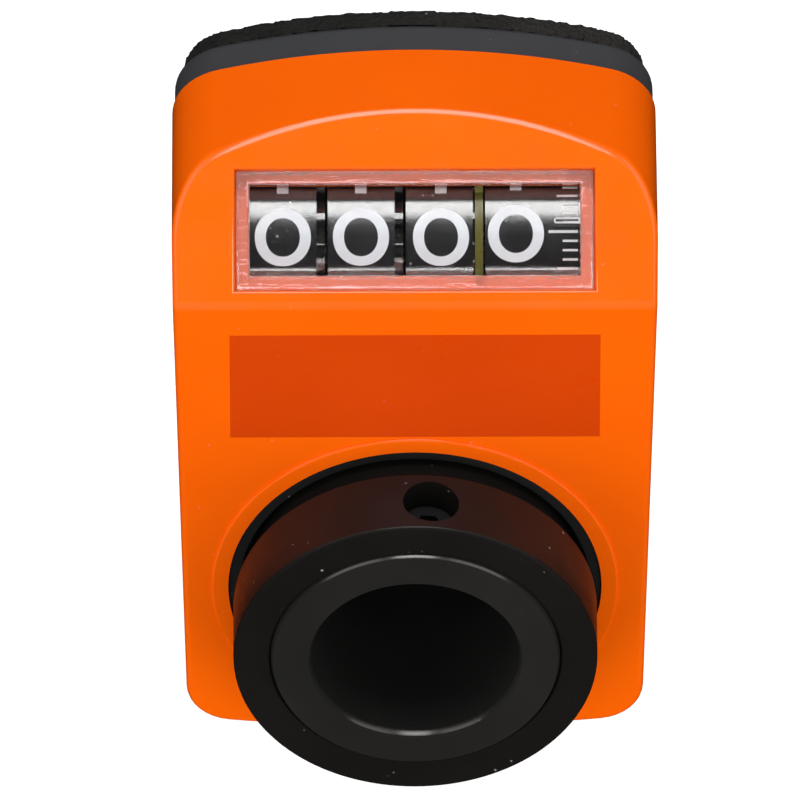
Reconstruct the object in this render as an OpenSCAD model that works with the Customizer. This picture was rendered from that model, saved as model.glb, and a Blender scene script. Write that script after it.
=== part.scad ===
// Mechanical position indicator with a hollow shaft and four number wheels.
// Millimetres. The shaft axis lies along Y with the hub toward -Y, and +Z is up.
// The origin is on the shaft axis, in the rear face of the base plate.

/* [Housing] */
// Width of the housing at the bend
body_w = 46.2; // [45:0.2:56]
// Draft angle of the sides, which makes the foot narrower
side_draft = 1.1; // [0:0.1:1.5]
// Height of the crown above the shaft axis
crown_z = 49.1; // [48:0.1:58]
// Depth of the lowest point below the shaft axis
foot_z = 19.6; // [19.4:0.1:28]
// Radius of the arched top
crown_r = 70; // [55:1:90]
// Radius of the arched bottom
foot_r = 150; // [90:5:250]
// Corner radius at the top of the outline
top_corner_r = 6; // [3:0.5:8]
// Corner radius at the bottom of the outline
foot_corner_r = 4.6; // [2:0.2:6]
// Radius along the upright front edges
edge_r = 4.5; // [2.5:0.5:6]
// Wall thickness of the housing
wall = 2; // [1.5:0.1:2.2]
// Distance from the rear of the base plate to the front face
depth = 27; // [26.6:0.1:32]
// Height of the bend where the sloping window face starts
bend_z = 37; // [36.6:0.1:37.4]
// Angle of the window face, leaning back from upright
window_tilt = 50.1; // [46:0.1:54]
// Outer radius of the flat boss round the hub
boss_r = 19.6; // [19:0.1:20.4]

/* [Base and seal] */
// Thickness of the base plate
base_t = 4.1; // [4:0.1:6]
// Thickness of the pocket floor behind the number wheels
floor_t = 0.9; // [0.6:0.1:1]
// How far the base plate is set in from the housing outline
base_inset = 0.25; // [0:0.05:0.6]
// Thickness of the foam seal
foam_t = 2.1; // [1:0.1:4]
// How far the foam is set in from the base plate outline
foam_inset = 0.45; // [0.1:0.05:3]
// Diameter of the torque pin that stops the housing turning
pin_d = 6; // [4:0.5:8]
// Length of the torque pin behind the base plate
pin_len = 8; // [4:0.5:14]
// Height of the torque pin above the shaft axis
pin_z = 30; // [24:0.5:36]

/* [Hub] */
// Diameter of the shaft bore
bore_d = 20; // [12:0.5:20]
// Outer diameter of the collar in front of the housing
collar_d = 35; // [34:0.5:37]
// Length of the collar
collar_len = 7.5; // [7:0.1:12]
// Gap between the housing face and the back of the collar
collar_gap = 2.7; // [1:0.1:5]
// Outer diameter of the bush flange in the collar
flange_d = 27.9; // [27:0.1:29]
// Outer diameter of the bush tube behind the flange
tube_d = 24; // [23:0.1:24.6]
// How far the bush stands out of the collar
bush_proud = 0.25; // [0:0.05:0.6]
// Diameter of the neck that runs through the housing
neck_d = 32.2; // [31.8:0.1:32.4]
// Diameter of the opening in the housing for the hub seal
seal_d = 36; // [35.4:0.1:36.6]
// Diameter of the set screw
screw_d = 4.9; // [3:0.1:5]
// Angle of the set screw from straight up
screw_angle = 5; // [-30:1:30]

/* [Window and label] */
// Width of the window lens
lens_w = 34; // [33.6:0.1:36]
// Height of the window lens along the sloping face
lens_h = 11.3; // [10:0.1:12]
// Distance from the bend to the middle of the lens
lens_up = 7.4; // [7:0.1:8]
// Thickness of the lens plate
lens_t = 1.2; // [0.8:0.1:1.3]
// Width of the blank label on the front face
label_w = 35.4; // [20:0.2:36]
// Height of the blank label
label_h = 13.5; // [8:0.1:15]
// Thickness of the label
label_t = 0.15; // [0.1:0.05:0.3]

/* [Number wheels] */
// Radius of the number wheels
wheel_r = 11.3; // [11:0.1:11.4]
// Diameter of the axle of the wheels
axle_d = 3; // [2:0.1:4]
// Width of the number band of the three plain wheels
band_w = 6.4; // [6:0.1:6.5]
// Spacing of the plain wheels
wheel_pitch = 7.46; // [7.4:0.02:7.6]
// Width of the number band of the units wheel
units_w = 9; // [8:0.1:9]

/* [Gears] */
// Module of the drive gears
drive_m = 0.5; // [0.5]
// Module of the carry gears
carry_m = 1; // [1]
// Teeth of the crown gear on the hub
crown_teeth = 60; // [60]
// Teeth of the drive pinion
pinion_teeth = 15; // [15]
// Teeth of the idler gear
idler_teeth = 40; // [40]
// Teeth of the gear on the units wheel
units_teeth = 30; // [30]
// Teeth of the ring on each driven number wheel
ring_teeth = 20; // [20]
// Teeth of each carry pinion
carry_teeth = 8; // [8]
// Tooth thickness as a share of half the pitch
tooth_fill = 0.72; // [0.6:0.02:0.8]

/* [Clearances] */
// Radial clearance of a running fit
run_gap = 0.04; // [0.02:0.01:0.08]
// Radial clearance of a tight fit
press_gap = 0.01; // [0.01:0.01:0.03]
// Gap between moving faces
side_gap = 0.3; // [0.2:0.05:0.4]

/* [Hidden] */
$fn = 96;

// Overlap of a cutting tool past the face that it cuts
cut = 1;

// Planes along Y
front_y = -depth;
joint_y = -base_t;
floor_y = -floor_t;
collar_back_y = front_y - collar_gap;
collar_front_y = collar_back_y - collar_len;
bush_front_y = collar_front_y - bush_proud;

// Outline arcs: the corner circles touch the crown, the sides and the foot
crown_cz = crown_z - crown_r;
foot_cz = foot_r - foot_z;
function half_w(z) = body_w / 2 - (bend_z - z) * tan(side_draft);
top_cx = half_w(crown_z - top_corner_r - 2) - top_corner_r;
top_cz = crown_cz + sqrt(pow(crown_r - top_corner_r, 2) - pow(top_cx, 2));
low_cx = half_w(foot_corner_r + 1 - foot_z) - foot_corner_r;
low_cz = foot_cz - sqrt(pow(foot_r - foot_corner_r, 2) - pow(low_cx, 2));
top_a = atan2(top_cz - crown_cz, top_cx);
low_a = atan2(foot_cz - low_cz, low_cx);

// Window frame of reference: the middle of the lens on the sloping face
lens_y = front_y + lens_up * sin(window_tilt);
lens_z = bend_z + lens_up * cos(window_tilt);
lens_recess = 0.25;
lens_fit = 0.15;
skirt_t = 1.2;
skirt_depth = 2.4;

// Gear train, one above the other: pinion on the shaft axis height, idler, units gear
pinion_r = drive_m * pinion_teeth / 2;
idler_r = drive_m * idler_teeth / 2;
units_gear_r = drive_m * units_teeth / 2;
crown_pitch_r = drive_m * crown_teeth / 2;
idler_z = pinion_r + idler_r;
wheel_z = idler_z + idler_r + units_gear_r;
// What turns behind the window reaches out to the number bands, or to the tooth rings if those are larger
ring_r = carry_m * ring_teeth / 2;
ring_add = 0.65 * carry_m;
ring_cover = 0.35;
rim_r = max(wheel_r, ring_r + ring_add + ring_cover);
wheel_cover = rim_r + lens_recess + lens_t + 0.45;
wheel_y = lens_y + wheel_cover * cos(window_tilt);
mesh_y = wheel_y - pinion_r;
pinion_phase = 90 % (360 / pinion_teeth);
drive_add = 0.9 * drive_m;
drive_ded = 1.3 * drive_m;

// Carry gears: the transfer axle hangs below and a little behind the wheel axle
carry_r = carry_m * carry_teeth / 2;
carry_lean = 12;
carry_line = carry_lean - 90;
transfer_y = wheel_y + (ring_r + carry_r) * cos(carry_line);
transfer_z = wheel_z + (ring_r + carry_r) * sin(carry_line);
transfer_d = 1.5;
carry_add = 0.8 * carry_m;
carry_ded = 1.0 * carry_m;
ring_t = 0.8;
carry_t = 0.55;
carry_side = 0.15;

// Places along the wheel axle
tens_x1 = 5.55;
band_gap = wheel_pitch - band_w;
units_x0 = tens_x1 + band_gap + 0.1;
units_x1 = units_x0 + units_w;
tens_x0 = tens_x1 - band_w;
hundreds_x0 = tens_x0 - wheel_pitch;
thousands_x0 = hundreds_x0 - wheel_pitch;

// Frame plates
right_plate_z0 = -4;
middle_plate_z0 = 8;
left_plate_z0 = 12;
plate_x1 = half_w(right_plate_z0) - wall - side_gap;
plate_t = 1.5;
plate_x0 = plate_x1 - plate_t;
middle_x0 = units_x1 + 0.4;
middle_t = 0.7;
middle_x1 = middle_x0 + middle_t;
gear_x0 = middle_x1 + side_gap;
gear_x1 = plate_x0 - side_gap;
plate_front_y = front_y + wall + 5;
plate_top_z = bend_z - 0.8;
pivot_d = 2;
sleeve_r = axle_d / 2 + 1.1;

// Crown gear on the bush
crown_x0 = crown_pitch_r - 0.6;
crown_x1 = crown_pitch_r + 0.6;
crown_rim_r = crown_x1 + 0.3;
pinion_x0 = crown_x0 - 0.3;
crown_root_y = mesh_y - drive_ded;
crown_tip_y = mesh_y + 0.8 * drive_m;
neck_back_y = front_y + 5;

// Bearings of the hub
boss_proud = 0.3;
// Room round the torque pin in the foam, for the edge of the hole it enters
pin_room = 0.6;
bearing_len = 2.8;
bearing_wall = 0.9;
rear_bearing_r = tube_d / 2 + 2;
flange_back_y = front_y - 1.5;
ring_y = joint_y - 0.95;

// Set screw, radial in the middle of the collar
screw_y = (collar_front_y + collar_back_y) / 2;
screw_len_r = 4;
screw_tip_r = bore_d / 2 + 0.4;

// Gap between the top of the label and the bend
label_drop = 3.75;

// Screws in the four corners
post_inset = 3.9;
edge_out = 0.5;
post_top_z = crown_z - 6.6;
post_low_z = 4.2 - foot_z;
post_r = 2.2;
post_len = 7;
tap_r = 1.25;
thread_r = 1.2;
head_r = 2.2;
head_t = 1.6;
screw_len = 9;

// ---- helpers -------------------------------------------------------------

// Points along an arc from a0 to a1 in n steps
function arc(cx, cy, r, a0, a1, n) =
    [for (i = [0:n]) let (a = a0 + (a1 - a0) * i / n) [cx + r * cos(a), cy + r * sin(a)]];

// Outline of the housing seen from the front, moved in by an inset
function outline_points(inset) = concat(
    arc(0, crown_cz, crown_r - inset, top_a, 180 - top_a, 24),
    arc(-top_cx, top_cz, top_corner_r - inset, 180 - top_a, 180 + side_draft, 6),
    arc(-low_cx, low_cz, foot_corner_r - inset, 180 + side_draft, 180 + low_a, 6),
    arc(0, foot_cz, foot_r - inset, 180 + low_a, 360 - low_a, 14),
    arc(low_cx, low_cz, foot_corner_r - inset, -low_a, -side_draft, 6),
    arc(top_cx, top_cz, top_corner_r - inset, -side_draft, top_a, 6));

// Extrude an X-Z drawing along Y, or a Y-Z drawing along X
module along_y(y0, y1) {
    translate([0, y1, 0]) rotate([90, 0, 0]) linear_extrude(y1 - y0) children();
}
module along_x(x0, x1) {
    translate([x0, 0, 0]) rotate([90, 0, 90]) linear_extrude(x1 - x0) children();
}

// Round bars along Y and X
module bar_y(r, y0, y1) {
    translate([0, y1, 0]) rotate([90, 0, 0]) cylinder(r = r, h = y1 - y0);
}
module cone_y(r0, r1, y0, y1) {
    translate([0, y0, 0]) rotate([-90, 0, 0]) cylinder(r1 = r0, r2 = r1, h = y1 - y0);
}
module bar_x(r, x0, x1) {
    translate([x0, 0, 0]) rotate([0, 90, 0]) cylinder(r = r, h = x1 - x0);
}
module box(x0, x1, y0, y1, z0, z1) {
    translate([x0, y0, z0]) cube([x1 - x0, y1 - y0, z1 - z0]);
}

// Places where pieces repeat
module at_posts() {
    for (side = [-1, 1], z = [post_low_z, post_top_z])
        translate([side * (half_w(z) - post_inset), 0, z]) children();
}
module at_wheels() { translate([0, wheel_y, wheel_z]) children(); }
module at_transfer() { translate([0, transfer_y, transfer_z]) children(); }
module at_idler() { translate([0, wheel_y, idler_z]) children(); }
module at_pinion() { translate([0, wheel_y, 0]) children(); }

// Lens frame: X across, Y up the sloping face, Z out of the housing
module at_window() {
    translate([0, lens_y, lens_z]) rotate([90 - window_tilt, 0, 0]) children();
}
module on_screw_line() { rotate([0, screw_angle, 0]) children(); }

// Involute gear outline with its first tooth at the angle phase
pressure = 20;
function inv(a) = tan(a) * 180 / PI - a;
function half_tooth(r, pitch_r, teeth) = let (base_r = pitch_r * cos(pressure))
    90 / teeth * tooth_fill + inv(pressure) - (r > base_r ? inv(acos(base_r / r)) : 0);
function polar(r, a) = [r * cos(a), r * sin(a)];
function gear_points(teeth, pitch_r, add, ded, phase) =
    let (steps = 3, root_r = pitch_r - ded, tip_r = pitch_r + add)
    [for (i = [0:teeth - 1], k = [0:2 * steps + 1])
        let (down = k > steps, j = down ? 2 * steps + 1 - k : k,
             r = root_r + (tip_r - root_r) * j / steps,
             side = half_tooth(r, pitch_r, teeth) * (down ? 1 : -1))
        polar(r, phase + i * 360 / teeth + side)];
module gear(teeth, pitch_r, add, ded, phase, x0, x1, bore_r) {
    difference() {
        along_x(x0, x1) polygon(gear_points(teeth, pitch_r, add, ded, phase));
        bar_x(bore_r, x0 - cut, x1 + cut);
    }
}

// Side view of the housing, moved in by an inset
module side_view(inset, y_back) {
    plane_y = front_y + inset * cos(window_tilt);
    plane_z = bend_z - inset * sin(window_tilt);
    top = crown_z + cut;
    knee_z = plane_z + (front_y + inset - plane_y) / tan(window_tilt);
    top_y = plane_y + (top - plane_z) * tan(window_tilt);
    polygon([[y_back, -foot_z - cut], [front_y + inset, -foot_z - cut], [front_y + inset, knee_z],
             [top_y, top], [y_back, top]]);
}

// Plan view with rounded front edges, moved in by an inset. Its sides stand outside the outline, so
// that only the rounding cuts.
module plan_view(inset, y_back) {
    half = body_w / 2 + edge_out;
    cx = half - edge_r;
    polygon(concat(
        [[inset - half, y_back]],
        arc(-cx, front_y + edge_r, edge_r - inset, 180, 270, 6),
        arc(cx, front_y + edge_r, edge_r - inset, 270, 360, 6),
        [[half - inset, y_back]]));
}

// The housing form, solid: three views meet
module housing_form(inset, y_back) {
    intersection() {
        along_y(front_y, y_back) polygon(outline_points(inset));
        along_x(-body_w, body_w) side_view(inset, y_back);
        translate([0, 0, -foot_z - cut]) linear_extrude(crown_z + foot_z + 2 * cut)
            plan_view(inset, y_back);
    }
}

// ---- casing --------------------------------------------------------------

module housing() {
    color("darkorange") difference() {
        union() {
            difference() {
                housing_form(0, joint_y);
                housing_form(wall, joint_y + cut);
            }
            at_posts() bar_y(post_r, joint_y - post_len, joint_y);
            bar_y(boss_r, front_y - boss_proud, front_y + wall);
            bar_y(seal_d / 2 + bearing_wall, front_y, front_y + wall + bearing_len);
        }
        bar_y(seal_d / 2, front_y - cut, front_y + wall + bearing_len + cut);
        at_posts() bar_y(tap_r, joint_y - post_len + 1, joint_y + cut);
        at_window() translate([-lens_w / 2 - lens_fit, -lens_h / 2 - lens_fit, -wall - 2])
            cube([lens_w + 2 * lens_fit, lens_h + 2 * lens_fit, wall + 4]);
        box(-label_w / 2, label_w / 2, front_y - cut, front_y + label_t,
            bend_z - label_drop - label_h, bend_z - label_drop);
    }
}

module base_plate() {
    color("dimgray") difference() {
        union() {
            along_y(joint_y, 0) polygon(outline_points(base_inset));
            translate([0, 0, pin_z]) {
                bar_y(pin_d / 2, -floor_t / 2, pin_len - 0.5);
                cone_y(pin_d / 2, pin_d / 2 - 0.5, pin_len - 0.5, pin_len);
            }
        }
        bar_y(rear_bearing_r, joint_y - cut, cut);
        // Pocket behind the number wheels, and beside the shaft for the frame plates
        box(-plate_x1 - side_gap, plate_x1 + side_gap, joint_y - cut, floor_y,
            wheel_z - wheel_r - 0.9, plate_top_z + 0.5);
        box(-units_x1 - 0.4, units_x1 + 0.4, joint_y - cut, floor_y,
            plate_top_z, wheel_z + wheel_r + 0.5);
        box(middle_x0 - 0.2, plate_x1 + side_gap, joint_y - cut, floor_y,
            right_plate_z0 - 0.5, wheel_z - wheel_r);
        box(-plate_x1 - side_gap, side_gap - plate_x0, joint_y - cut, floor_y,
            left_plate_z0 - 0.5, wheel_z - wheel_r);
        at_posts() {
            bar_y(thread_r + 0.2, joint_y - cut, cut);
            bar_y(head_r + 0.1, -head_t, cut);
        }
    }
}

module foam_seal() {
    color("black") difference() {
        along_y(0, foam_t) polygon(outline_points(base_inset + foam_inset));
        bar_y(rear_bearing_r + 1.5, -cut, foam_t + cut);
        translate([0, 0, pin_z]) bar_y(pin_d / 2 + pin_room, -cut, foam_t + cut);
    }
}

module base_screws() {
    color("silver") at_posts() difference() {
        union() {
            bar_y(head_r, -head_t, -0.1);
            bar_y(thread_r, -screw_len, -head_t);
        }
        for (a = [0, 90]) rotate([0, a, 0]) box(-1.3, 1.3, -0.8, cut, -0.25, 0.25);
    }
}

// ---- window --------------------------------------------------------------

module window_lens() {
    color([0.9, 0.92, 0.95, 0.4]) at_window() translate([0, 0, -lens_recess]) difference() {
        translate([-lens_w / 2, -lens_h / 2, -skirt_depth]) cube([lens_w, lens_h, skirt_depth]);
        translate([-lens_w / 2 + skirt_t, -lens_h / 2 + skirt_t, -skirt_depth - cut])
            cube([lens_w - 2 * skirt_t, lens_h - 2 * skirt_t, skirt_depth + cut - lens_t]);
    }
}

// White bar printed on the lens above the graduations
module index_mark() {
    color("white") at_window() translate([units_x1 - 2, 0.9, -lens_recess])
        difference() {
            translate([-1.6, -0.3, 0]) cube([3.2, 0.6, 0.05]);
            translate([-1.4, -0.12, -cut]) cube([2.8, 0.24, 2 * cut]);
        }
}

// Coloured finger between the tens and the units, hung from the lens
module decimal_marker() {
    x0 = tens_x1 + 0.2;
    x1 = units_x0 - 0.2;
    reach = lens_h / 2 - skirt_t - 0.15;
    inner = rim_r - 0.3;
    outer = rim_r + 0.2;
    tab_t = 0.6;
    color("yellowgreen") difference() {
        union() {
            intersection() {
                at_wheels() bar_x(outer, x0, x1);
                at_window() translate([x0, -reach, -rim_r]) cube([x1 - x0, 2 * reach, rim_r]);
            }
            for (y = [-reach, reach - tab_t]) at_window() translate([x0, y, -wheel_cover])
                cube([x1 - x0, tab_t, wheel_cover - lens_recess - lens_t]);
        }
        at_wheels() bar_x(inner, x0 - cut, x1 + cut);
    }
}

module name_label() {
    color("orangered") box(-label_w / 2, label_w / 2, front_y, front_y + label_t,
        bend_z - label_drop - label_h, bend_z - label_drop);
}

// ---- hub and its bearings ------------------------------------------------

module front_seal() {
    color("black") difference() {
        bar_y(seal_d / 2 - press_gap, front_y - 0.05, front_y + wall);
        bar_y(neck_d / 2 + side_gap, front_y - cut, front_y + wall + cut);
    }
}

module front_bearing() {
    color("ivory") difference() {
        bar_y(seal_d / 2 - press_gap, front_y + wall, front_y + wall + bearing_len);
        bar_y(neck_d / 2 + run_gap, front_y, front_y + wall + bearing_len + cut);
    }
}

module rear_bearing() {
    color("ivory") difference() {
        bar_y(rear_bearing_r - press_gap, joint_y, -0.3);
        bar_y(tube_d / 2 + run_gap, joint_y - cut, cut);
    }
}

module hub_collar() {
    color([0.08, 0.07, 0.07]) difference() {
        union() {
            bar_y(collar_d / 2, collar_front_y + 0.4, collar_back_y);
            cone_y(collar_d / 2 - 0.4, collar_d / 2, collar_front_y, collar_front_y + 0.4);
            bar_y(neck_d / 2, collar_back_y, neck_back_y);
        }
        bar_y(flange_d / 2 + press_gap, collar_front_y - cut, flange_back_y);
        bar_y(tube_d / 2 + press_gap, flange_back_y - cut, neck_back_y + cut);
        on_screw_line() translate([0, screw_y, bore_d / 2])
            cylinder(r = screw_d / 2 + 0.25, h = collar_d / 2);
    }
}

module shaft_bush() {
    chamfer = 0.6;
    mouth = 0.2;
    color([0.12, 0.12, 0.13]) difference() {
        union() {
            cone_y(flange_d / 2 - chamfer, flange_d / 2, bush_front_y, bush_front_y + chamfer);
            bar_y(flange_d / 2, bush_front_y + chamfer, flange_back_y);
            bar_y(tube_d / 2, flange_back_y, 0);
        }
        bar_y(bore_d / 2, bush_front_y - cut, cut);
        cone_y(bore_d / 2 + chamfer, bore_d / 2, bush_front_y, bush_front_y + mouth);
        on_screw_line() translate([0, screw_y, 0]) cylinder(r = screw_d / 2 + press_gap, h = collar_d / 2);
        difference() {
            bar_y(tube_d / 2 + cut, ring_y - 0.5, ring_y + 0.5);
            bar_y(tube_d / 2 - 0.5, ring_y - 1, ring_y + 1);
        }
    }
}

module set_screw() {
    color("dimgray") on_screw_line() translate([0, screw_y, screw_tip_r]) difference() {
        union() {
            cylinder(r1 = screw_d / 2 - 0.6, r2 = screw_d / 2, h = 0.6);
            translate([0, 0, 0.6]) cylinder(r = screw_d / 2, h = screw_len_r - 0.6);
        }
        translate([0, 0, screw_len_r - 2]) cylinder(r = screw_d * 0.28, h = 2 + cut, $fn = 6);
    }
}

module retaining_ring() {
    color("silver") difference() {
        bar_y(tube_d / 2 + 1.2, ring_y - 0.4, ring_y + 0.4);
        bar_y(tube_d / 2 - 0.45, ring_y - cut, ring_y + cut);
        box(-2, 2, ring_y - cut, ring_y + cut, -tube_d, 0);
    }
}

// Face gear pressed on the bush, with its teeth toward the base plate
module crown_gear() {
    pitch_half = PI * drive_m / 4 * tooth_fill;
    tip_half = pitch_half - (crown_tip_y - mesh_y) * tan(pressure);
    root_half = pitch_half + (mesh_y - crown_root_y) * tan(pressure);
    // The tooth space of the pinion nearest the crown gear, as a turn of the hub
    pinion_space = (180 - pinion_phase - 180 / pinion_teeth) % (360 / pinion_teeth)
        * pinion_teeth / crown_teeth;
    color("wheat") {
        difference() {
            union() {
                bar_y(crown_rim_r, neck_back_y, crown_root_y);
                for (i = [0:crown_teeth - 1]) rotate([0, i * 360 / crown_teeth - pinion_space, 0])
                    along_x(crown_x0, crown_x1)
                        polygon([[crown_root_y - 0.2, -root_half], [crown_tip_y, -tip_half],
                                 [crown_tip_y, tip_half], [crown_root_y - 0.2, root_half]]);
            }
            bar_y(tube_d / 2 + press_gap, neck_back_y - cut, crown_tip_y + cut);
        }
    }
}

// ---- counter frame -------------------------------------------------------

module plate(x0, x1, z0) {
    box(x0, x1, plate_front_y, floor_y, z0, plate_top_z);
}
module drill(r, x0, x1) { bar_x(r, x0 - cut, x1 + cut); }

module frame_left() {
    color("lightgray") difference() {
        plate(-plate_x1, -plate_x0, left_plate_z0);
        at_wheels() drill(axle_d / 2 + press_gap, -plate_x1, -plate_x0);
        at_transfer() drill(transfer_d / 2 + press_gap, -plate_x1, -plate_x0);
    }
}

module frame_middle() {
    color("lightgray") difference() {
        plate(middle_x0, middle_x1, middle_plate_z0);
        at_wheels() drill(sleeve_r + side_gap, middle_x0, middle_x1);
        at_transfer() drill(transfer_d / 2 + press_gap, middle_x0, middle_x1);
        at_idler() drill(pivot_d / 2 + press_gap, middle_x0, middle_x1);
    }
}

module frame_right() {
    color("lightgray") difference() {
        plate(plate_x0, plate_x1, right_plate_z0);
        at_wheels() drill(axle_d / 2 + press_gap, plate_x0, plate_x1);
        at_idler() drill(pivot_d / 2 + press_gap, plate_x0, plate_x1);
        at_pinion() drill(pivot_d / 2 + press_gap, plate_x0, plate_x1);
    }
}

module wheel_axle() { color("silver") at_wheels() bar_x(axle_d / 2, -plate_x1, plate_x1); }
module transfer_axle() { color("silver") at_transfer() bar_x(transfer_d / 2, -plate_x1, middle_x1); }
module pinion_pin() { color("silver") at_pinion() bar_x(pivot_d / 2, pinion_x0 - 0.2, plate_x1); }
module idler_pin() { color("silver") at_idler() bar_x(pivot_d / 2, middle_x0, plate_x1); }
module axle_spacer() {
    color("white") at_wheels() difference() {
        bar_x(sleeve_r, -plate_x0, thousands_x0 - side_gap);
        bar_x(axle_d / 2 + press_gap, -plate_x1, thousands_x0);
    }
}

// ---- gears and number wheels ---------------------------------------------

module drive_pinion() {
    color("wheat") at_pinion() gear(pinion_teeth, pinion_r, drive_add, drive_ded, pinion_phase,
        pinion_x0, gear_x1, pivot_d / 2 + run_gap);
}

module idler_gear() {
    color("wheat") at_idler() gear(idler_teeth, idler_r, drive_add, drive_ded, 180 / idler_teeth,
        gear_x0, gear_x1, pivot_d / 2 + run_gap);
}

module units_gear() {
    color("wheat") at_wheels() gear(units_teeth, units_gear_r, drive_add, drive_ded, 180 / units_teeth,
        gear_x0, gear_x1, sleeve_r + press_gap);
}

module number_wheel(x0, x1) {
    difference() {
        bar_x(wheel_r, x0, x1);
        // Hollow behind the number band, open to the left
        difference() {
            bar_x(wheel_r - 1.2, x0 - cut, x1 - 1.5);
            bar_x(sleeve_r, x0 - 2 * cut, x1);
        }
        bar_x(axle_d / 2 + run_gap, x0 - cut, x1 + cut);
    }
}

module wheel_units() {
    color([0.06, 0.06, 0.06]) at_wheels() {
        number_wheel(units_x0, units_x1);
        difference() {
            bar_x(sleeve_r, units_x1, gear_x1);
            bar_x(axle_d / 2 + run_gap, units_x0, gear_x1 + cut);
        }
    }
}

// A plain wheel carries the tooth ring of its carry on its right side
module driven_wheel(x0) {
    ring_phase = (360 + carry_line) % (360 / ring_teeth);
    color([0.06, 0.06, 0.06]) at_wheels() {
        number_wheel(x0, x0 + band_w);
        gear(ring_teeth, ring_r, ring_add, carry_ded, ring_phase, x0 + band_w, x0 + band_w + ring_t,
            axle_d / 2 + run_gap);
    }
}
module wheel_tens() { driven_wheel(tens_x0); }
module wheel_hundreds() { driven_wheel(hundreds_x0); }
module wheel_thousands() { driven_wheel(thousands_x0); }

module carry_pinion(wheel_x0) {
    x0 = wheel_x0 + band_w + carry_side;
    phase = carry_line + 180 + 180 / carry_teeth;
    color("ivory") at_transfer() gear(carry_teeth, carry_r, carry_add, carry_ded, phase,
        x0, x0 + carry_t, transfer_d / 2 + run_gap);
}
module carry_pinion_tens() { carry_pinion(tens_x0); }
module carry_pinion_hundreds() { carry_pinion(hundreds_x0); }
module carry_pinion_thousands() { carry_pinion(thousands_x0); }

// ---- assembly ------------------------------------------------------------

housing();
base_plate();
foam_seal();
window_lens();
index_mark();
decimal_marker();
name_label();
front_seal();
front_bearing();
rear_bearing();
hub_collar();
shaft_bush();
set_screw();
retaining_ring();
crown_gear();
frame_left();
frame_middle();
frame_right();
wheel_axle();
axle_spacer();
transfer_axle();
pinion_pin();
idler_pin();
drive_pinion();
idler_gear();
wheel_units();
units_gear();
wheel_tens();
wheel_hundreds();
wheel_thousands();
carry_pinion_tens();
carry_pinion_hundreds();
carry_pinion_thousands();
base_screws();
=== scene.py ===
# %% [markdown]
# A position indicator is a small counter that slides onto a machine spindle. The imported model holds
# every part at its place. Those places could be typed in again, but then the two models would drift
# apart, so the first step is to load that model and to note its size. Everything is in metres, with
# +Z up and the hub toward -Y.

# %% Load the frame
import math

import bmesh
import bpy
from mathutils import Matrix, Vector, noise


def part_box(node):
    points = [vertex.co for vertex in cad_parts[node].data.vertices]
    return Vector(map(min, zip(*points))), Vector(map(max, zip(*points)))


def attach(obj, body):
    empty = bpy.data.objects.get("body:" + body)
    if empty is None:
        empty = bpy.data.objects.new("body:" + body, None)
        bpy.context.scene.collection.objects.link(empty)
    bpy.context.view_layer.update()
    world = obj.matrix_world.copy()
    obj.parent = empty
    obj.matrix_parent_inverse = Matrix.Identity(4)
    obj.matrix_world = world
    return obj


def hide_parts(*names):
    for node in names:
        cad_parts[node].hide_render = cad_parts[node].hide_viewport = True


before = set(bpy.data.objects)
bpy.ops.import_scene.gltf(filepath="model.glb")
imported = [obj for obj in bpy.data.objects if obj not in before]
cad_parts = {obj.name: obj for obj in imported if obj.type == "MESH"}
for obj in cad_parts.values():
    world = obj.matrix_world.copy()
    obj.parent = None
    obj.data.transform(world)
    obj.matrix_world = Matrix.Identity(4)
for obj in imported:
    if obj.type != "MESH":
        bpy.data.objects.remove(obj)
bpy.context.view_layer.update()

MM = 0.001

# %% [markdown]
# The camera stands far back and looks down on the front. A long lens keeps the sides nearly parallel,
# as in a catalogue picture, so the housing's own draft is what narrows it toward the foot. An
# orthographic camera would be simpler, but a real lens always leaves a little perspective.

# %% Camera
scene = bpy.context.scene
view_elevation = math.radians(43.854)
view_azimuth = math.radians(0.254)
view_angle = math.radians(2.129)
view_point = Vector((-4.182, -645.9, 619.3)) * MM
pull_back = 1.2
far_clip = 20
camera_data = bpy.data.cameras.new("catalogue_camera")
camera_data.lens_unit = "FOV"
camera_data.angle = view_angle
camera_data.clip_end = far_clip
camera = bpy.data.objects.new("catalogue_camera", camera_data)
scene.collection.objects.link(camera)
look = Vector((math.sin(view_azimuth) * math.cos(view_elevation),
               math.cos(view_azimuth) * math.cos(view_elevation), -math.sin(view_elevation)))
camera.location = view_point - look * pull_back
camera.rotation_euler = look.to_track_quat("-Z", "Y").to_euler()
scene.camera = camera
print("camera is", round(camera.location.length, 2), "m from the shaft axis")

# %% [markdown]
# Sizes come from the frame's boxes wherever a box can give them. Radii and angles that no box shows
# are named once, in metres or radians, so that a change is made in one place.

# %% Sizes from the frame
def box_of(node_name):
    return [Vector(corner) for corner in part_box(node_name)]


case_lo, case_hi = box_of("housing")
base_hi = box_of("base_plate")[1]
foam_lo, foam_hi = box_of("foam_seal")
lens_lo, lens_hi = box_of("window_lens")
label_lo, label_hi = box_of("name_label")
collar_lo, collar_hi = box_of("hub_collar")
bush_lo, bush_hi = box_of("shaft_bush")
seal_lo, seal_hi = box_of("front_seal")
axle_lo, axle_hi = box_of("wheel_axle")
units_lo, units_hi = box_of("wheel_units")

tilt = math.radians(50.1)
draft = math.radians(1.1)
bend_z = 37.0 * MM
front_y = label_lo.y
joint_y = case_hi.y
crown_radius = 70 * MM
foot_radius = 150 * MM
top_corner = 6.0 * MM
foot_corner = 4.6 * MM
wall = 2.0 * MM
crown_z = case_hi.z
foot_z = case_lo.z
half_width = 23.1 * MM
axle = (axle_lo + axle_hi) / 2
wheel_radius = (units_hi.z - units_lo.z) / 2
print("housing", [round(v / MM, 1) for v in (case_hi - case_lo)], "mm, wheels",
      round(wheel_radius / MM, 2), "mm radius")

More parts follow.
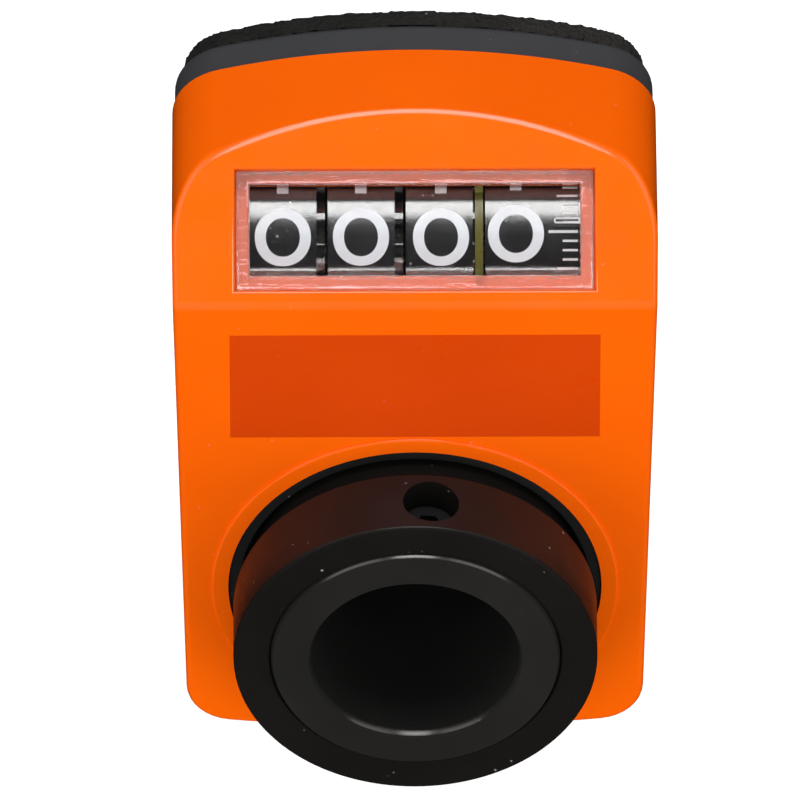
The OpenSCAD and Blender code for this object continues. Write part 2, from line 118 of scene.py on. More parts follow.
# %% [markdown]
# The window sits on a sloping face. Each piece of it could be turned by hand after it is made, but one
# shared matrix keeps them all on the same face: it carries anything drawn flat, with X across, Y up the
# slope and Z outwards, onto that face.

# %% Window place
skirt = 2.4 * MM
lens_height = 11.3 * MM
lens_width = lens_hi.x - lens_lo.x
lens_middle = Vector((0, (lens_lo.y + lens_hi.y - skirt * math.cos(tilt)) / 2,
                      (lens_lo.z + lens_hi.z + skirt * math.sin(tilt)) / 2))
window = Matrix.Translation(lens_middle) @ Matrix.Rotation(math.pi / 2 - tilt, 4, "X")
print("window middle", [round(v / MM, 2) for v in lens_middle])

# %% [markdown]
# Every piece goes through the same few steps: a bmesh becomes an object, solids are cut or joined, and
# hard edges stay sharp. It could be done by hand in Edit Mode, but a function does the same each time.

# %% Mesh helpers
SHARP = math.radians(32)


def sharpen(mesh):
    bm = bmesh.new()
    bm.from_mesh(mesh)
    for face in bm.faces:
        face.smooth = True
    for edge in bm.edges:
        edge.smooth = len(edge.link_faces) == 2 and edge.calc_face_angle(0) < SHARP
    bm.to_mesh(mesh)
    bm.free()


def make_object(name, bm, outward=True):
    bmesh.ops.remove_doubles(bm, verts=bm.verts, dist=1e-7)
    if outward:
        bmesh.ops.recalc_face_normals(bm, faces=bm.faces)
    mesh = bpy.data.meshes.new(name)
    bm.to_mesh(mesh)
    bm.free()
    piece = bpy.data.objects.new(name, mesh)
    scene.collection.objects.link(piece)
    return piece


def bake_modifiers(piece):
    graph = bpy.context.evaluated_depsgraph_get()
    mesh = bpy.data.meshes.new_from_object(piece.evaluated_get(graph))
    piece.modifiers.clear()
    piece.data = mesh
    mesh.name = piece.name
    return piece


def combine(piece, tool_name, tool_bm, operation="DIFFERENCE"):
    tool = make_object(tool_name, tool_bm)
    modifier = piece.modifiers.new("cut", "BOOLEAN")
    modifier.operation = operation
    modifier.solver = "MANIFOLD"
    modifier.object = tool
    bpy.context.view_layer.update()
    bake_modifiers(piece)
    bpy.data.objects.remove(tool)
    return piece


def bevel_edges(bm, edges, width, segments=4):
    bmesh.ops.bevel(bm, geom=list(edges), offset=width, segments=segments, profile=0.5,
                    affect="EDGES", clamp_overlap=True, material=-1)


print("mesh helpers ready")

# %% [markdown]
# Moulded and turned parts are mostly boxes, cylinders and solids of revolution. They could be added as
# objects and scaled, but a bmesh is built at its final place, so the object itself is never moved.

# %% Plain solids
def box_bmesh(low, high, place=Matrix.Identity(4)):
    low, high = Vector(low), Vector(high)
    bm = bmesh.new()
    bmesh.ops.create_cube(bm, size=1)
    bmesh.ops.scale(bm, vec=high - low, verts=bm.verts)
    bmesh.ops.translate(bm, vec=(low + high) / 2, verts=bm.verts)
    bmesh.ops.transform(bm, matrix=place, verts=bm.verts)
    return bm


def cylinder_y(radius, y0, y1, x=0.0, z=0.0, segments=96):
    bm = bmesh.new()
    bmesh.ops.create_cone(bm, cap_ends=True, segments=segments, radius1=radius, radius2=radius,
                          depth=y1 - y0, matrix=Matrix.Translation((x, (y0 + y1) / 2, z))
                          @ Matrix.Rotation(math.pi / 2, 4, "X"))
    return bm


def spun(profile, steps=128):
    """A solid of revolution about the shaft axis from a closed profile of (radius, y)."""
    bm = bmesh.new()
    ring = [bm.verts.new((radius, y, 0)) for radius, y in profile]
    edges = [bm.edges.new((a, b)) for a, b in zip(ring, ring[1:] + ring[:1])]
    bmesh.ops.spin(bm, geom=ring + edges, cent=(0, 0, 0), axis=(0, 1, 0), angle=2 * math.pi,
                   steps=steps, use_merge=True)
    return bm


def rounded(points, radius, steps=4):
    """The closed profile with each corner cut back by radius and rounded."""
    result = []
    for before, corner, after in zip(points[-1:] + points[:-1], points, points[1:] + points[:1]):
        a, c, b = Vector(before), Vector(corner), Vector(after)
        reach = min(radius, (a - c).length * 0.45, (b - c).length * 0.45)
        start = c + (a - c).normalized() * reach
        end = c + (b - c).normalized() * reach
        for i in range(steps + 1):
            t = i / steps
            result.append(tuple(start * (1 - t) ** 2 + c * 2 * t * (1 - t) + end * t ** 2))
    return result


print("plain solids ready")

# %% [markdown]
# A finish is a tree of nodes. Each node could be added and wired where it is needed, in four or five
# lines. These helpers do it in one and return the output, so that a tree reads like a sum.

# %% Node helpers
def start_group(name, inputs, outputs):
    group = bpy.data.node_groups.new(name, "ShaderNodeTree")
    for socket_name, kind, value in inputs:
        socket = group.interface.new_socket(socket_name, in_out="INPUT", socket_type=kind)
        if value is not None:
            socket.default_value = value
    for socket_name, kind in outputs:
        group.interface.new_socket(socket_name, in_out="OUTPUT", socket_type=kind)
    return group, group.nodes.new("NodeGroupInput"), group.nodes.new("NodeGroupOutput")


def feed(group, value, socket):
    if isinstance(value, bpy.types.NodeSocket):
        group.links.new(value, socket)
    else:
        socket.default_value = value


def add_noise(group, vector, scale, detail=4.0, rough=0.55):
    node = group.nodes.new("ShaderNodeTexNoise")
    node.inputs["Detail"].default_value = detail
    node.inputs["Roughness"].default_value = rough
    group.links.new(vector, node.inputs["Vector"])
    feed(group, scale, node.inputs["Scale"])
    return node.outputs["Fac"]


def add_range(group, value, low, high, to_low=0.0, to_high=1.0):
    node = group.nodes.new("ShaderNodeMapRange")
    for socket, number in zip(("From Min", "From Max", "To Min", "To Max"), (low, high, to_low, to_high)):
        node.inputs[socket].default_value = number
    group.links.new(value, node.inputs["Value"])
    return node.outputs["Result"]


def add_math(group, operation, first, second):
    node = group.nodes.new("ShaderNodeMath")
    node.operation = operation
    for socket, value in zip(node.inputs, (first, second)):
        feed(group, value, socket)
    return node.outputs[0]


print("node helpers ready")

# %% [markdown]
# Moulded plastic is never one flat colour: the skin has a fine grain, the gloss varies a little from
# place to place and some dust settles on it. Painted images could show that, but noise needs no files
# and has no seams. Each effect is built once, as a node group. Lengths in the textures are in metres,
# so the scales are large.

# %% Shared surface effects
SHADE_SCALE = 55.0
SMEAR_SCALE = 240.0
SPECK_SCALE = 900.0
SPECK_EDGE = (0.16, 0.04)
PATCH_SCALE = 420.0
PATCH_EDGE = (0.6, 0.66)


def moulded_skin_group():
    group, given, result = start_group(
        "moulded_skin",
        [("Vector", "NodeSocketVector", None), ("Grain Scale", "NodeSocketFloat", 3000.0)],
        [("Height", "NodeSocketFloat"), ("Shade", "NodeSocketFloat"), ("Gloss", "NodeSocketFloat")])
    vector = given.outputs["Vector"]
    group.links.new(add_noise(group, vector, given.outputs["Grain Scale"], 3), result.inputs["Height"])
    patches = add_noise(group, vector, SHADE_SCALE, 3)
    group.links.new(add_range(group, patches, 0.3, 0.7), result.inputs["Shade"])
    smear = add_noise(group, vector, SMEAR_SCALE, 6, 0.65)
    group.links.new(add_range(group, smear, 0.3, 0.75), result.inputs["Gloss"])
    return group


def dust_group():
    group, given, result = start_group(
        "settled_dust",
        [("Vector", "NodeSocketVector", None), ("Amount", "NodeSocketFloat", 0.2)],
        [("Mask", "NodeSocketFloat")])
    vector = given.outputs["Vector"]
    specks = group.nodes.new("ShaderNodeTexVoronoi")
    specks.inputs["Scale"].default_value = SPECK_SCALE
    specks.inputs["Randomness"].default_value = 1.0
    group.links.new(vector, specks.inputs["Vector"])
    near = add_range(group, specks.outputs["Distance"], *SPECK_EDGE)
    chosen = add_range(group, add_noise(group, vector, PATCH_SCALE, 2), *PATCH_EDGE)
    mask = add_math(group, "MULTIPLY", add_math(group, "MULTIPLY", near, chosen), given.outputs["Amount"])
    group.links.new(mask, result.inputs["Mask"])
    return group


def turned_group():
    group, given, result = start_group(
        "turned_rings",
        [("Vector", "NodeSocketVector", None), ("Pitch Scale", "NodeSocketFloat", 9000.0)],
        [("Height", "NodeSocketFloat"), ("Shade", "NodeSocketFloat")])
    split = group.nodes.new("ShaderNodeSeparateXYZ")
    group.links.new(given.outputs["Vector"], split.inputs[0])
    square_x = add_math(group, "MULTIPLY", split.outputs["X"], split.outputs["X"])
    square_z = add_math(group, "MULTIPLY", split.outputs["Z"], split.outputs["Z"])
    radius = add_math(group, "SQRT", add_math(group, "ADD", square_x, square_z), 0.0)
    along = add_math(group, "ADD", radius, split.outputs["Y"])
    rings = group.nodes.new("ShaderNodeTexNoise")
    rings.noise_dimensions = "1D"
    rings.inputs["Detail"].default_value = 3.0
    group.links.new(along, rings.inputs["W"])
    group.links.new(given.outputs["Pitch Scale"], rings.inputs["Scale"])
    group.links.new(rings.outputs["Fac"], result.inputs["Height"])
    group.links.new(add_range(group, rings.outputs["Fac"], 0.3, 0.7), result.inputs["Shade"])
    return group


SKIN = moulded_skin_group()
DUST = dust_group()
TURNED = turned_group()
print("effect groups:", SKIN.name, DUST.name, TURNED.name)

# %% [markdown]
# A finish joins these effects to one Principled shader. The colour drifts between two close shades,
# the roughness between two values, and the grain goes into a bump. One builder keeps the finishes
# alike where they should be. Numbers that stay the same are set on the shader's own sockets.

# %% Finish builder
DUST_COLOUR = (0.75, 0.73, 0.7)
GRAIN_HEIGHT = 0.2 * MM


def object_place(tree):
    found = [node for node in tree.nodes if node.type == "TEX_COORD"]
    return (found[0] if found else tree.nodes.new("ShaderNodeTexCoord")).outputs["Object"]


def add_bump(tree, height, strength, distance):
    """Adds a bump on top of the one that the shader may have already."""
    normal = tree.nodes["Principled BSDF"].inputs["Normal"]
    bump = tree.nodes.new("ShaderNodeBump")
    bump.inputs["Strength"].default_value = strength
    bump.inputs["Distance"].default_value = distance
    tree.links.new(height, bump.inputs["Height"])
    if normal.is_linked:
        tree.links.new(normal.links[0].from_socket, bump.inputs["Normal"])
    tree.links.new(bump.outputs["Normal"], normal)


def link_group(tree, group, vector, values):
    node = tree.nodes.new("ShaderNodeGroup")
    node.node_tree = group
    tree.links.new(vector, node.inputs["Vector"])
    for name, value in values.items():
        node.inputs[name].default_value = value
    return node


def mix_colour(tree, factor, first, second):
    node = tree.nodes.new("ShaderNodeMix")
    node.data_type = "RGBA"
    tree.links.new(factor, node.inputs["Factor"])
    for socket, colour in ((node.inputs[6], first), (node.inputs[7], second)):
        feed(tree, (*colour, 1) if isinstance(colour, tuple) else colour, socket)
    return node.outputs[2]


def finish(name, colour, drift, rough, grain=3000.0, depth=0.02, dust=0.15, turned=0.0, **constants):
    """colour and drift are the two shades, rough the two roughness limits, depth the bump strength."""
    material = bpy.data.materials.new(name)
    material.use_nodes = True
    tree = material.node_tree
    shader = tree.nodes["Principled BSDF"]
    place = object_place(tree)
    skin = link_group(tree, SKIN, place, {"Grain Scale": grain})
    specks = link_group(tree, DUST, place, {"Amount": dust})
    height, shade = skin.outputs["Height"], skin.outputs["Shade"]
    gloss = skin.outputs["Gloss"]
    if turned:
        rings = link_group(tree, TURNED, place, {"Pitch Scale": turned})
        height, gloss = rings.outputs["Height"], rings.outputs["Shade"]
    body = mix_colour(tree, shade, colour, drift)
    dusty = mix_colour(tree, specks.outputs["Mask"], body, DUST_COLOUR)
    tree.links.new(dusty, shader.inputs["Base Color"])
    tree.links.new(add_range(tree, gloss, 0, 1, *rough), shader.inputs["Roughness"])
    add_bump(tree, height, depth, GRAIN_HEIGHT)
    for socket, value in constants.items():
        shader.inputs[socket.replace("_", " ")].default_value = value
    return material


print("finish builder ready")

# %% [markdown]
# The casing is a bright, glossy orange moulding, so it gets a thin coat over its colour. The base
# plate is a satin charcoal moulding and the collar a darker one with a silkier skin. The bush is
# blackened steel, and fine rings from the lathe make its gloss vary.

# %% Finishes of the outside
orange = finish("orange_moulding", (0.93, 0.125, 0.0015), (0.88, 0.112, 0.0015), (0.16, 0.26),
                grain=2600, depth=0.012, dust=0.1, Specular_IOR_Level=0.4, Coat_Weight=0.25,
                Coat_Roughness=0.08)
label_ink = finish("label_ink", (0.61, 0.052, 0.001), (0.57, 0.047, 0.001), (0.26, 0.36),
                   grain=4000, depth=0.015, dust=0.06, Specular_IOR_Level=0.25)
charcoal = finish("charcoal_moulding", (0.036, 0.037, 0.040), (0.045, 0.045, 0.049), (0.42, 0.58),
                  grain=5200, depth=0.09, dust=0.35, Specular_IOR_Level=0.35)
collar_black = finish("collar_moulding", (0.0065, 0.0060, 0.0055), (0.0095, 0.0085, 0.0075), (0.34, 0.44),
                      grain=6000, depth=0.05, dust=0.4, Specular_IOR_Level=0.2)
seal_rubber = finish("seal_rubber", (0.009, 0.009, 0.009), (0.014, 0.014, 0.014), (0.5, 0.66),
                     grain=5000, depth=0.08, dust=0.3, Specular_IOR_Level=0.3)
black_steel = finish("blackened_steel", (0.070, 0.067, 0.064), (0.095, 0.091, 0.087), (0.16, 0.26),
                     depth=0.015, dust=0.25, turned=4200.0, Metallic=0.8)
black_oxide = finish("black_oxide", (0.006, 0.006, 0.006), (0.011, 0.011, 0.011), (0.45, 0.6), grain=4000,
                     depth=0.04, dust=0.0, Specular_IOR_Level=0.2)
print("outside finishes:", orange.name, charcoal.name, collar_black.name, black_steel.name)

# %% [markdown]
# Open foam is torn cells. The mesh gives the lumps, and a Voronoi bump gives the small holes: to model
# each hole would take millions of faces for something that is hardly seen.

# %% Foam finish
def foam_finish():
    material = finish("open_foam", (0.008, 0.008, 0.008), (0.030, 0.028, 0.026), (0.86, 1.0),
                      grain=2400, depth=0.6, dust=0.35, Specular_IOR_Level=0.15)
    tree = material.node_tree
    cells = tree.nodes.new("ShaderNodeTexVoronoi")
    cells.inputs["Scale"].default_value = 1900.0
    tree.links.new(object_place(tree), cells.inputs["Vector"])
    add_bump(tree, cells.outputs["Distance"], 0.9, 0.4 * MM)
    return material


open_foam = foam_finish()
print("foam finish:", open_foam.name)

# %% [markdown]
# The lens is clear acrylic. Real thickness makes the bright rim and the bent edges by itself, so the
# finish only needs the right index of refraction and a faint haze. The frame round it comes from the
# mould unpolished, with long ripples. They could be modelled, but at this size a bump does as well.
# The frame's pink tint is a painted reflection of the orange housing. The orange ledge behind the
# clear rim also shows through it for real, and the tint adds more of that colour.

# %% Lens finishes
acrylic = finish("clear_acrylic", (0.99, 0.985, 0.98), (0.97, 0.97, 0.97), (0.015, 0.05),
                 grain=1800, depth=0.004, dust=0.12, IOR=1.49, Transmission_Weight=1.0)


def streaked(material, stretch, scale, strength):
    """Adds long ripples to a finish, drawn out along X by stretch."""
    tree = material.node_tree
    drawn_out = tree.nodes.new("ShaderNodeMapping")
    drawn_out.inputs["Scale"].default_value = (1 / stretch, 1, 1)
    tree.links.new(object_place(tree), drawn_out.inputs["Vector"])
    ripples = tree.nodes.new("ShaderNodeTexNoise")
    ripples.inputs["Scale"].default_value = scale
    ripples.inputs["Detail"].default_value = 3.0
    tree.links.new(drawn_out.outputs["Vector"], ripples.inputs["Vector"])
    add_bump(tree, ripples.outputs["Fac"], strength, 0.4 * MM)
    return material


# The pink of the rim's two shades is a painted reflection of the orange housing round it.
moulded_rim_painted_reflection = streaked(finish("moulded_rim_painted_reflection", (1.0, 0.88, 0.83), (1.0, 0.94, 0.92), (0.03, 0.11),
                              grain=2600, depth=0.05, dust=0.15, IOR=1.49, Transmission_Weight=0.93),
                       5.0, 1500, 0.3)
print("lens finishes:", acrylic.name, moulded_rim_painted_reflection.name)

# %% [markdown]
# Inside the window are polished black wheels with white printed figures. A coat with a high index
# draws the pale bands across them. The acetal gears, filled plastic plates and ground steel axles show
# only when the case is open. Plain colours would do there, but the model can be taken apart.

# %% Finishes of the inside
wheel_black = finish("wheel_moulding", (0.006, 0.006, 0.007), (0.011, 0.011, 0.012), (0.16, 0.26),
                     grain=3500, depth=0.03, dust=0.6, Specular_IOR_Level=1.0, Coat_Weight=1.0,
                     Coat_Roughness=0.2, Coat_IOR=1.8)
white_ink = finish("white_ink", (0.90, 0.93, 0.97), (0.84, 0.87, 0.92), (0.35, 0.5), grain=7000,
                   depth=0.05, dust=0.0)
scale_ink = finish("scale_ink", (0.88, 0.88, 0.88), (0.8, 0.8, 0.8), (0.35, 0.5), grain=7000,
                   depth=0.05, dust=0.0)
marker_yellow = finish("marker_olive", (0.15, 0.135, 0.03), (0.11, 0.10, 0.025), (0.25, 0.35), dust=0.1)
acetal = finish("acetal", (0.78, 0.74, 0.64), (0.72, 0.68, 0.57), (0.3, 0.42), grain=4200, depth=0.03)
filled_plastic = finish("filled_plastic", (0.33, 0.34, 0.36), (0.27, 0.28, 0.3), (0.45, 0.6),
                        grain=5200, depth=0.1)
ground_steel = finish("ground_steel", (0.62, 0.62, 0.63), (0.5, 0.5, 0.51), (0.2, 0.32), depth=0.04,
                      turned=7000.0, Metallic=1.0)
zinc_screw = finish("zinc_screw", (0.55, 0.55, 0.53), (0.42, 0.42, 0.41), (0.28, 0.42), grain=5000,
                    depth=0.06, Metallic=1.0)
print("inside finishes ready")

# %% [markdown]
# Parts that need no finer shape stay as the frame made them and only take a finish. A table with one
# line for each finish shows at a glance what is made of what.

# %% Finishes on the frame's parts
CAD_FINISHES = {
    label_ink: ["name_label"],
    acetal: ["front_bearing", "rear_bearing", "crown_gear", "drive_pinion", "idler_gear", "units_gear",
             "axle_spacer", "carry_pinion_tens", "carry_pinion_hundreds", "carry_pinion_thousands"],
    filled_plastic: ["frame_left", "frame_middle", "frame_right"],
    ground_steel: ["wheel_axle", "transfer_axle", "pinion_pin", "idler_pin", "retaining_ring"],
    zinc_screw: ["base_screws"],
    black_oxide: ["set_screw"],
    marker_yellow: ["decimal_marker"],
    wheel_black: ["wheel_units", "wheel_tens", "wheel_hundreds", "wheel_thousands"],
}
for material, names in CAD_FINISHES.items():
    for node_name in names:
        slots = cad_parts[node_name].data.materials
        slots.clear()
        slots.append(material)
print("finished", sum(len(v) for v in CAD_FINISHES.values()), "frame parts")

# %% [markdown]
# A finer piece rides on the body that carries it and stands in for the plain part it replaces. Big
# flat faces beside narrow rounded edges get weighted normals first, or the shading would bend across
# them. One function does it all, so that no piece misses a step.

# %% Putting a piece in place
def place_piece(piece, body, slot_name, material, *nodes, flat_faces=True):
    sharpen(piece.data)
    piece.data.materials.clear()
    piece.data.materials.append(material)
    if flat_faces:
        steady = piece.modifiers.new("steady_normals", "WEIGHTED_NORMAL")
        steady.keep_sharp = True
        bake_modifiers(piece)
    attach(piece, body)
    if nodes:
        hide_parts(*nodes)
    print(piece.name, "has", len(piece.data.polygons), "faces")


# %% [markdown]
# The housing, base plate and foam share one outline: an arched crown, an arched foot, rounded corners
# and sides that lean in toward the foot. It could be drawn by eye as a curve, but then the plate and
# the foam wouldn't follow it at an even distance. Here the corner circles touch the arcs, so their
# centres follow from the radii.

# %% Shared outline
TOP_TOUCH = 2 * MM
FOOT_TOUCH = 1 * MM


def half_at(z):
    return half_width - (bend_z - z) * math.tan(draft)


def outline(inset):
    """The outline's points, anticlockwise from the foot's middle, moved in by inset."""
    crown_centre = crown_z - crown_radius
    foot_centre = foot_z + foot_radius
    top_x = half_at(crown_z - top_corner - TOP_TOUCH) - top_corner
    top_z = crown_centre + math.sqrt((crown_radius - top_corner) ** 2 - top_x ** 2)
    low_x = half_at(foot_z + foot_corner + FOOT_TOUCH) - foot_corner
    low_z = foot_centre - math.sqrt((foot_radius - foot_corner) ** 2 - low_x ** 2)
    top_angle = math.atan2(top_z - crown_centre, top_x)
    low_angle = math.atan2(foot_centre - low_z, low_x)

    def arc(x, z, radius, start, end, steps):
        return [(x + radius * math.cos(start + (end - start) * i / steps),
                 z + radius * math.sin(start + (end - start) * i / steps)) for i in range(steps + 1)]

    half = (arc(0, foot_centre, foot_radius - inset, -math.pi / 2, -low_angle, 10)[:-1]
            + arc(low_x, low_z, foot_corner - inset, -low_angle, -draft, 8)
            + arc(top_x, top_z, top_corner - inset, -draft, top_angle, 10)[:-1]
            + arc(0, crown_centre, crown_radius - inset, top_angle, math.pi / 2, 14))
    return half + [(-x, z) for x, z in reversed(half[1:-1])]


def outline_solid(inset, y_front, y_back):
    bm = bmesh.new()
    face = bm.faces.new([bm.verts.new((x, y_front, z)) for x, z in outline(inset)])
    moved = bmesh.ops.extrude_face_region(bm, geom=[face])["geom"]
    bmesh.ops.translate(bm, vec=(0, y_back - y_front, 0),
                        verts=[g for g in moved if isinstance(g, bmesh.types.BMVert)])
    bmesh.ops.recalc_face_normals(bm, faces=bm.faces)
    return bm


screw_lo, screw_hi = box_of("base_screws")
head_radius = 2.2 * MM
post_inset = 3.9 * MM


def screw_places():
    heights = (screw_lo.z + head_radius, screw_hi.z - head_radius)
    return [(side * (half_at(z) - post_inset), z) for side in (-1, 1) for z in heights]


print("outline has", len(outline(0)), "points, screws stand at", len(screw_places()), "places")

# %% [markdown]
# The housing starts as that outline drawn back to the joint. One plane slices off the sloping window
# face. A Bevel modifier then rounds the front, with a weight on each edge: the long upright edges get
# the full radius, the crease over the window a smaller one that grows toward the sides, and the bend
# below the window nearly the full one. It could be drawn face by face, but weights are easy to change.

# %% Housing form
slope_out = Vector((0, -math.cos(tilt), math.sin(tilt)))
bend_line = Vector((0, front_y, bend_z))
EDGE_RADIUS = 4.4 * MM
BEND_WEIGHT = 0.9
CREASE_WEIGHT = (0.62, 0.35)
FOOT_WEIGHT = 0.8
CREASE_RISE = 6 * MM
FOOT_RISE = 4 * MM
TOUCHING = 1e-6


def sloped_solid(inset, y_back):
    bm = outline_solid(inset, front_y + inset, y_back)
    point = bend_line - slope_out * inset
    geom = bm.verts[:] + bm.edges[:] + bm.faces[:]
    cut = bmesh.ops.bisect_plane(bm, geom=geom, plane_co=point, plane_no=slope_out, clear_outer=True)
    rim = [g for g in cut["geom_cut"] if isinstance(g, bmesh.types.BMEdge)]
    bmesh.ops.contextual_create(bm, geom=rim)
    bmesh.ops.recalc_face_normals(bm, faces=bm.faces)
    return bm


def weigh_front_edges(bm):
    weights = bm.edges.layers.float.new("bevel_weight_edge")
    for edge in bm.edges:
        ends = [v.co for v in edge.verts]
        slope = all(abs((end - bend_line).dot(slope_out)) < TOUCHING for end in ends)
        front = all(abs(end.y - front_y) < TOUCHING for end in ends)
        middle = (ends[0] + ends[1]) / 2
        if slope and front:
            edge[weights] = BEND_WEIGHT
        elif slope and middle.z > bend_z + CREASE_RISE:
            aside = min(1.0, abs(middle.x) / half_width)
            edge[weights] = CREASE_WEIGHT[0] + CREASE_WEIGHT[1] * aside ** 2
        elif slope or front:
            edge[weights] = 1.0 if middle.z > foot_z + FOOT_RISE else FOOT_WEIGHT


form = sloped_solid(0, joint_y)
weigh_front_edges(form)
housing = make_object("housing_shell", form)
rounding = housing.modifiers.new("rounding", "BEVEL")
rounding.limit_method = "WEIGHT"
rounding.width = EDGE_RADIUS
rounding.segments = 10
rounding.profile = 0.5
bpy.context.view_layer.update()
bake_modifiers(housing)
print("rounded form has", len(housing.data.polygons), "faces")

# %% [markdown]
# The solid form becomes a shell by taking the same form, one wall thickness smaller, out of it. A
# Solidify modifier would be quicker, but it leaves folds inside rounded corners. The seat of the
# bearing and the posts of the screws are joined on inside, and the low boss stands round the hub.

# %% Shell and hub opening
seal_radius = (seal_hi.z - seal_lo.z) / 2
BOSS_RADIUS = 19.6 * MM
BOSS_HEIGHT = 0.3 * MM
BOSS_ROUND = 0.25 * MM
SEAT_WALL = 0.9 * MM
POST_LENGTH = 7 * MM
OVERLAP = 1 * MM
combine(housing, "cavity", sloped_solid(wall, joint_y + wall))
bearing_hi = box_of("front_bearing")[1]
seat = cylinder_y(seal_radius + SEAT_WALL, front_y + OVERLAP, bearing_hi.y)
combine(housing, "bearing_seat", seat, "UNION")
for x, z in screw_places():
    post = cylinder_y(head_radius, joint_y - POST_LENGTH, joint_y, x, z, 48)
    combine(housing, "screw_post", post, "UNION")
boss_profile = [(seal_radius - OVERLAP, front_y + OVERLAP), (BOSS_RADIUS, front_y + OVERLAP),
                (BOSS_RADIUS, front_y - BOSS_HEIGHT), (seal_radius - OVERLAP, front_y - BOSS_HEIGHT)]
boss = spun(rounded(boss_profile, BOSS_ROUND))
combine(housing, "boss", boss, "UNION")
hub_opening = cylinder_y(seal_radius, front_y - 3 * OVERLAP, bearing_hi.y + OVERLAP, segments=128)
combine(housing, "hub_opening", hub_opening)
print("shell has", len(housing.data.polygons), "faces")

# %% [markdown]
# The lens stands in a bed cut into the slope, on a ledge joined on behind it. The bed and the opening
# could be one stepped tool, but two plain boxes are easier to follow. The rim of the bed is rounded
# last, once it exists.

# %% Window and label openings
fit = 0.15 * MM
LENS_WALL = 1.2 * MM
LENS_RECESS = 0.25 * MM
LEDGE_SIDES = (1 * MM, 0.5 * MM)
BED_GAP = 0.03 * MM
REACH_IN = 9 * MM
REACH_OUT = 4 * MM
RIM_ROUND = 0.3 * MM


def window_block(half_w, half_h, low, high):
    return box_bmesh((-half_w, -half_h, low), (half_w, half_h, high), window)


ledge_back = -skirt - 0.25 * MM
combine(housing, "ledge", window_block(
    lens_width / 2 + LEDGE_SIDES[0], lens_height / 2 + LEDGE_SIDES[1], ledge_back, 0), "UNION")
combine(housing, "window_bed", window_block(
    lens_width / 2 + fit, lens_height / 2 + fit, -skirt - BED_GAP, REACH_OUT))
combine(housing, "window_opening", window_block(
    lens_width / 2 - LENS_WALL, lens_height / 2 - LENS_WALL, -REACH_IN, REACH_OUT))


def on_bed_rim(point):
    beside = abs(point.x) < lens_width / 2 + 2 * fit and abs(point.y) < lens_height / 2 + 2 * fit
    return beside and abs(point.z - LENS_RECESS) < 0.01 * MM


def soften_window_edge(mesh):
    bm = bmesh.new()
    bm.from_mesh(mesh)
    flat = window.inverted()
    edges = [edge for edge in bm.edges if all(on_bed_rim(flat @ v.co) for v in edge.verts)]
    bevel_edges(bm, edges, RIM_ROUND, 3)
    bm.to_mesh(mesh)
    bm.free()
    print("softened", len(edges), "edges of the window opening")


soften_window_edge(housing.data)
combine(housing, "label_bed", box_bmesh(
    (label_lo.x, front_y - OVERLAP, label_lo.z), (label_hi.x, label_hi.y, label_hi.z)))
place_piece(housing, "case", "housing_orange", orange, "housing")

# %% [markdown]
# The base plate closes the case and carries the frame of the counter in pockets. It follows the
# outline a quarter of a millimetre smaller. The pockets are boxes taken from the parts that sit in
# them, so they always fit.

# %% Base plate
BASE_INSET = 0.25 * MM
BASE_ROUND = 0.9 * MM


def base_form():
    bm = outline_solid(BASE_INSET, joint_y, 0)
    rear = [e for e in bm.edges if all(abs(v.co.y) < 1e-7 for v in e.verts)]
    bevel_edges(bm, rear, BASE_ROUND, 5)
    return bm


def cut_pocket(name, left, right, low, high):
    pocket = box_bmesh((left, joint_y - wall, low.z - slack), (right + slack, floor_y, high.z + slack))
    combine(base, name, pocket)


base = make_object("base_tray", base_form())
rear_hi = box_of("rear_bearing")[1]
bearing_radius = rear_hi.x
left_lo, left_hi = box_of("frame_left")
right_lo, right_hi = box_of("frame_right")
floor_y = right_hi.y
slack = 0.35 * MM
combine(base, "bearing_hole", cylinder_y(bearing_radius, joint_y - wall, wall))
cut_pocket("wheel_pocket", -units_hi.x - slack, units_hi.x, units_lo, units_hi)
cut_pocket("right_pocket", units_hi.x - wall, right_hi.x, right_lo, right_hi)
cut_pocket("left_pocket", left_lo.x - slack, left_hi.x, left_lo, left_hi)
print("base tray has", len(base.data.polygons), "faces")

# %% [markdown]
# Behind the plate stands the torque pin, a short peg with a rounded tip that keeps the case from
# turning with the shaft. It could be an object of its own, but it is moulded in one with the plate, so
# it is joined to it. Four screws hold the plate, with their heads sunk in it.

# %% Torque pin and screw holes
pin_radius = 3.0 * MM
pin_z = 30.0 * MM
pin_end = base_hi.y
pin_round = 0.6 * MM
head_seat_radius = head_radius + 0.1 * MM
head_seat_floor = -1.6 * MM
screw_hole_radius = 1.4 * MM


def turned_peg(radius, y0, y1, round_over, z):
    bm = cylinder_y(radius, y0, y1, 0, z, 64)
    tip = [e for e in bm.edges if all(abs(v.co.y - y1) < 1e-7 for v in e.verts)]
    bevel_edges(bm, tip, round_over, 5)
    return bm


peg = turned_peg(pin_radius, floor_y / 2, pin_end, pin_round, pin_z)
combine(base, "torque_pin", peg, "UNION")
for x, z in screw_places():
    seat = cylinder_y(head_seat_radius, head_seat_floor, wall, x, z, 48)
    combine(base, "screw_seat", seat)
    hole = cylinder_y(screw_hole_radius, joint_y - wall, wall, x, z, 32)
    combine(base, "screw_hole", hole)
place_piece(base, "case", "base_black", charcoal, "base_plate")

# %% [markdown]
# The foam seal is a flat ring of open foam, cut from a sheet. A bump alone would leave its edge
# straight, so it is remeshed into small cells first, and noise then pushes each point in or out. That
# gives the torn cells along the cut edge.

# %% Foam seal
FOAM_INSET = 0.55 * MM
FOAM_CELL = 0.33 * MM
SIDE_TRIM = 0.978
LUMP_SCALE, LUMP_DEPTH = 900, 0.05
TEAR_SCALE, TEAR_DEPTH = 3900, 0.13

